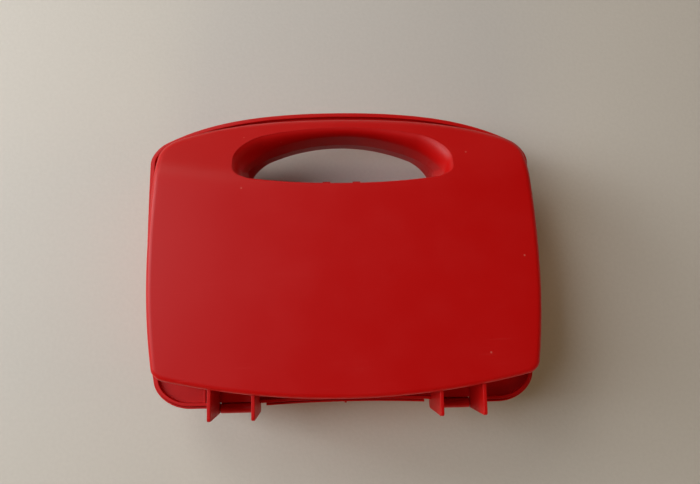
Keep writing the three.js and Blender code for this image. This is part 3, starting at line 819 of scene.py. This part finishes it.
def make_camera():
    ahead = Vector((NADIR_PX[0], NADIR_PX[1], FOCAL_PX)).normalized()
    part_x = (Vector((1, 0, 0)) - ahead * ahead.x).normalized()
    part_z = -ahead
    part_y = part_z.cross(part_x)
    turn = math.radians(ROLL_DEG)

    def in_part(v):
        return Vector((part_x.dot(v), part_y.dot(v), part_z.dot(v)))

    right = in_part(Vector((math.cos(turn), -math.sin(turn), 0)))
    up = -in_part(Vector((math.sin(turn), math.cos(turn), 0)))
    back = in_part(Vector((0, 0, -1)))
    data = bpy.data.cameras.new("photo_camera")
    data.sensor_width = SENSOR_MM
    data.lens = SENSOR_MM * FOCAL_PX / PHOTO_WIDTH
    data.shift_x = -SHIFT_PX[0] / PHOTO_WIDTH
    data.shift_y = SHIFT_PX[1] / PHOTO_WIDTH
    data.clip_start = NEAR_CLIP_M
    camera = bpy.data.objects.new("photo_camera", data)
    camera.matrix_world = Matrix.Translation(CAMERA_M) @ Matrix((right, up, back)).transposed().to_4x4()
    bpy.context.collection.objects.link(camera)
    bpy.context.scene.camera = camera


# Soft boxes round the table: name, direction and height in degrees, distance and side in metres, watts, colour,
# and whether they glint. The daylight comes low from the left, and weak fills keep the other sides readable.
BOXES = (
    ("window_left", 174, 32, 1.5, 0.6, 8.2, (0.93, 0.99, 1.0), True),
    ("window_far_left", 156, 22, 1.5, 0.6, 7.0, (0.96, 0.99, 1.0), True),
    ("window_far", 122, 40, 1.5, 0.6, 5.6, (1.0, 0.97, 0.90), True),
    ("window_upper", 171, 55, 1.5, 0.6, 6.3, (0.93, 0.95, 1.0), True),
    ("fill_near", 262, 18, 2.6, 1.1, 19.0, (1.0, 0.85, 0.46), False),
    ("fill_right", 0, 18, 2.6, 1.1, 13.0, (1.0, 0.60, 0.28), False),
)
BOXES_AIM_M = (0, 0, 0.03)

# The world's faint glow, and the pale backdrop with the sine of the height to which it reaches
GLOW = (1.0, 0.85, 0.70, 1)
GLOW_STRENGTH = 0.045
BACKDROP = (0.44, 0.40, 0.34, 1)
BACKDROP_TOP = 0.4

# The board under the case, and the distances in metres between which it fades into the backdrop
BOARD_HALF_SIDE = 3
BOARD_DULL = (0.565, 0.530, 0.485, 1)
BOARD_PALE = (0.580, 0.543, 0.498, 1)
BOARD_CLOUDS = Sizes(scale=7.0, detail=4.0)
BOARD_ROUGHNESS = 0.7
FLECK = (0.26, 0.23, 0.20, 1)
FLECK_SHARE = 0.05
FIBRES = Sizes(scale=420.0, detail=3.0, low=0.35, high=0.65, strength=0.3, distance=0.0003)
FADE_FROM = 0.5
FADE_TO = 1.1


def soft_box(name, turn, height, distance, side, watts, colour, glints):
    data = bpy.data.lights.new(name, "AREA")
    data.shape = "SQUARE"
    data.size = side
    data.energy = watts
    data.color = colour
    lamp = bpy.data.objects.new(name, data)
    lamp.visible_glossy = glints
    turn, height = math.radians(turn), math.radians(height)
    lamp.location = distance * Vector((math.cos(height) * math.cos(turn), math.cos(height) * math.sin(turn),
                                      math.sin(height)))
    lamp.rotation_euler = (Vector(BOXES_AIM_M) - lamp.location).to_track_quat("-Z", "Y").to_euler()
    bpy.context.collection.objects.link(lamp)


def backdrop_share(n, value, none, full):
    """How much of the backdrop camera, glossy and transmission rays see, as a value goes from none to full."""
    path = n.add("ShaderNodeLightPath").outputs
    seen = n.maths("MAXIMUM", path["Is Camera Ray"], path["Is Glossy Ray"])
    seen = n.maths("MAXIMUM", seen, path["Is Transmission Ray"])
    return n.maths("MULTIPLY", seen, n.ranged(value, none, full, interpolation_type="SMOOTHSTEP"))


def make_world():
    """A faint glow that lights the object, and a pale backdrop near the horizon that lights nothing."""
    world = bpy.data.worlds.new("studio")
    bpy.context.scene.world = world
    n = Nodes(world)
    glow = n.tree.nodes["Background"]
    n.set(glow.inputs["Color"], GLOW)
    n.set(glow.inputs["Strength"], GLOW_STRENGTH)
    wall = n.add("ShaderNodeBackground", {"Color": BACKDROP, "Strength": 1.0})
    towards = n.add("ShaderNodeTexCoord").outputs["Generated"]
    height = n.add("ShaderNodeSeparateXYZ", {"Vector": towards}).outputs["Z"]
    mix = n.add("ShaderNodeMixShader", {0: backdrop_share(n, height, BACKDROP_TOP, 0.0),
                                        1: glow.outputs["Background"], 2: wall.outputs["Background"]})
    n.set(n.tree.nodes["World Output"].inputs["Surface"], mix.outputs["Shader"])


def board():
    """Off-white board with a fine tooth, which fades into the backdrop far from the object."""
    material = bpy.data.materials.new("table_top")
    n = Nodes(material)
    shader = n.tree.nodes["Principled BSDF"]
    place = n.add("ShaderNodeTexCoord").outputs["Object"]
    fibres = n.noise(place, FIBRES)
    tone = n.mixed(n.noise(place, BOARD_CLOUDS), BOARD_DULL, BOARD_PALE)
    tone = n.mixed(n.ranged(fibres, FIBRES.low, FIBRES.high, 0.0, FLECK_SHARE), tone, FLECK)
    n.set(shader.inputs["Base Color"], tone)
    n.set(shader.inputs["Roughness"], BOARD_ROUGHNESS)
    n.set(shader.inputs["Normal"], n.bump(fibres, FIBRES))
    away = n.add("ShaderNodeVectorMath", {0: place}, operation="LENGTH").outputs["Value"]
    wall = n.add("ShaderNodeEmission", {"Color": BACKDROP, "Strength": 1.0})
    mix = n.add("ShaderNodeMixShader", {0: backdrop_share(n, away, FADE_FROM, FADE_TO),
                                        1: shader.outputs["BSDF"], 2: wall.outputs["Emission"]})
    n.set(n.tree.nodes["Material Output"].inputs["Surface"], mix.outputs["Shader"])
    return material


def make_studio():
    make_world()
    for box in BOXES:
        soft_box(*box)
    h = BOARD_HALF_SIDE
    mesh = bpy.data.meshes.new("table")
    mesh.from_pydata([(-h, -h, 0), (h, -h, 0), (h, h, 0), (-h, h, 0)], [], [(0, 1, 2, 3)])
    mesh.materials.append(board())
    table = bpy.data.objects.new("table", mesh)
    bpy.context.collection.objects.link(table)


bpy.context.scene.view_settings.view_transform = "Standard"
make_camera()
paint(build_case())
make_studio()
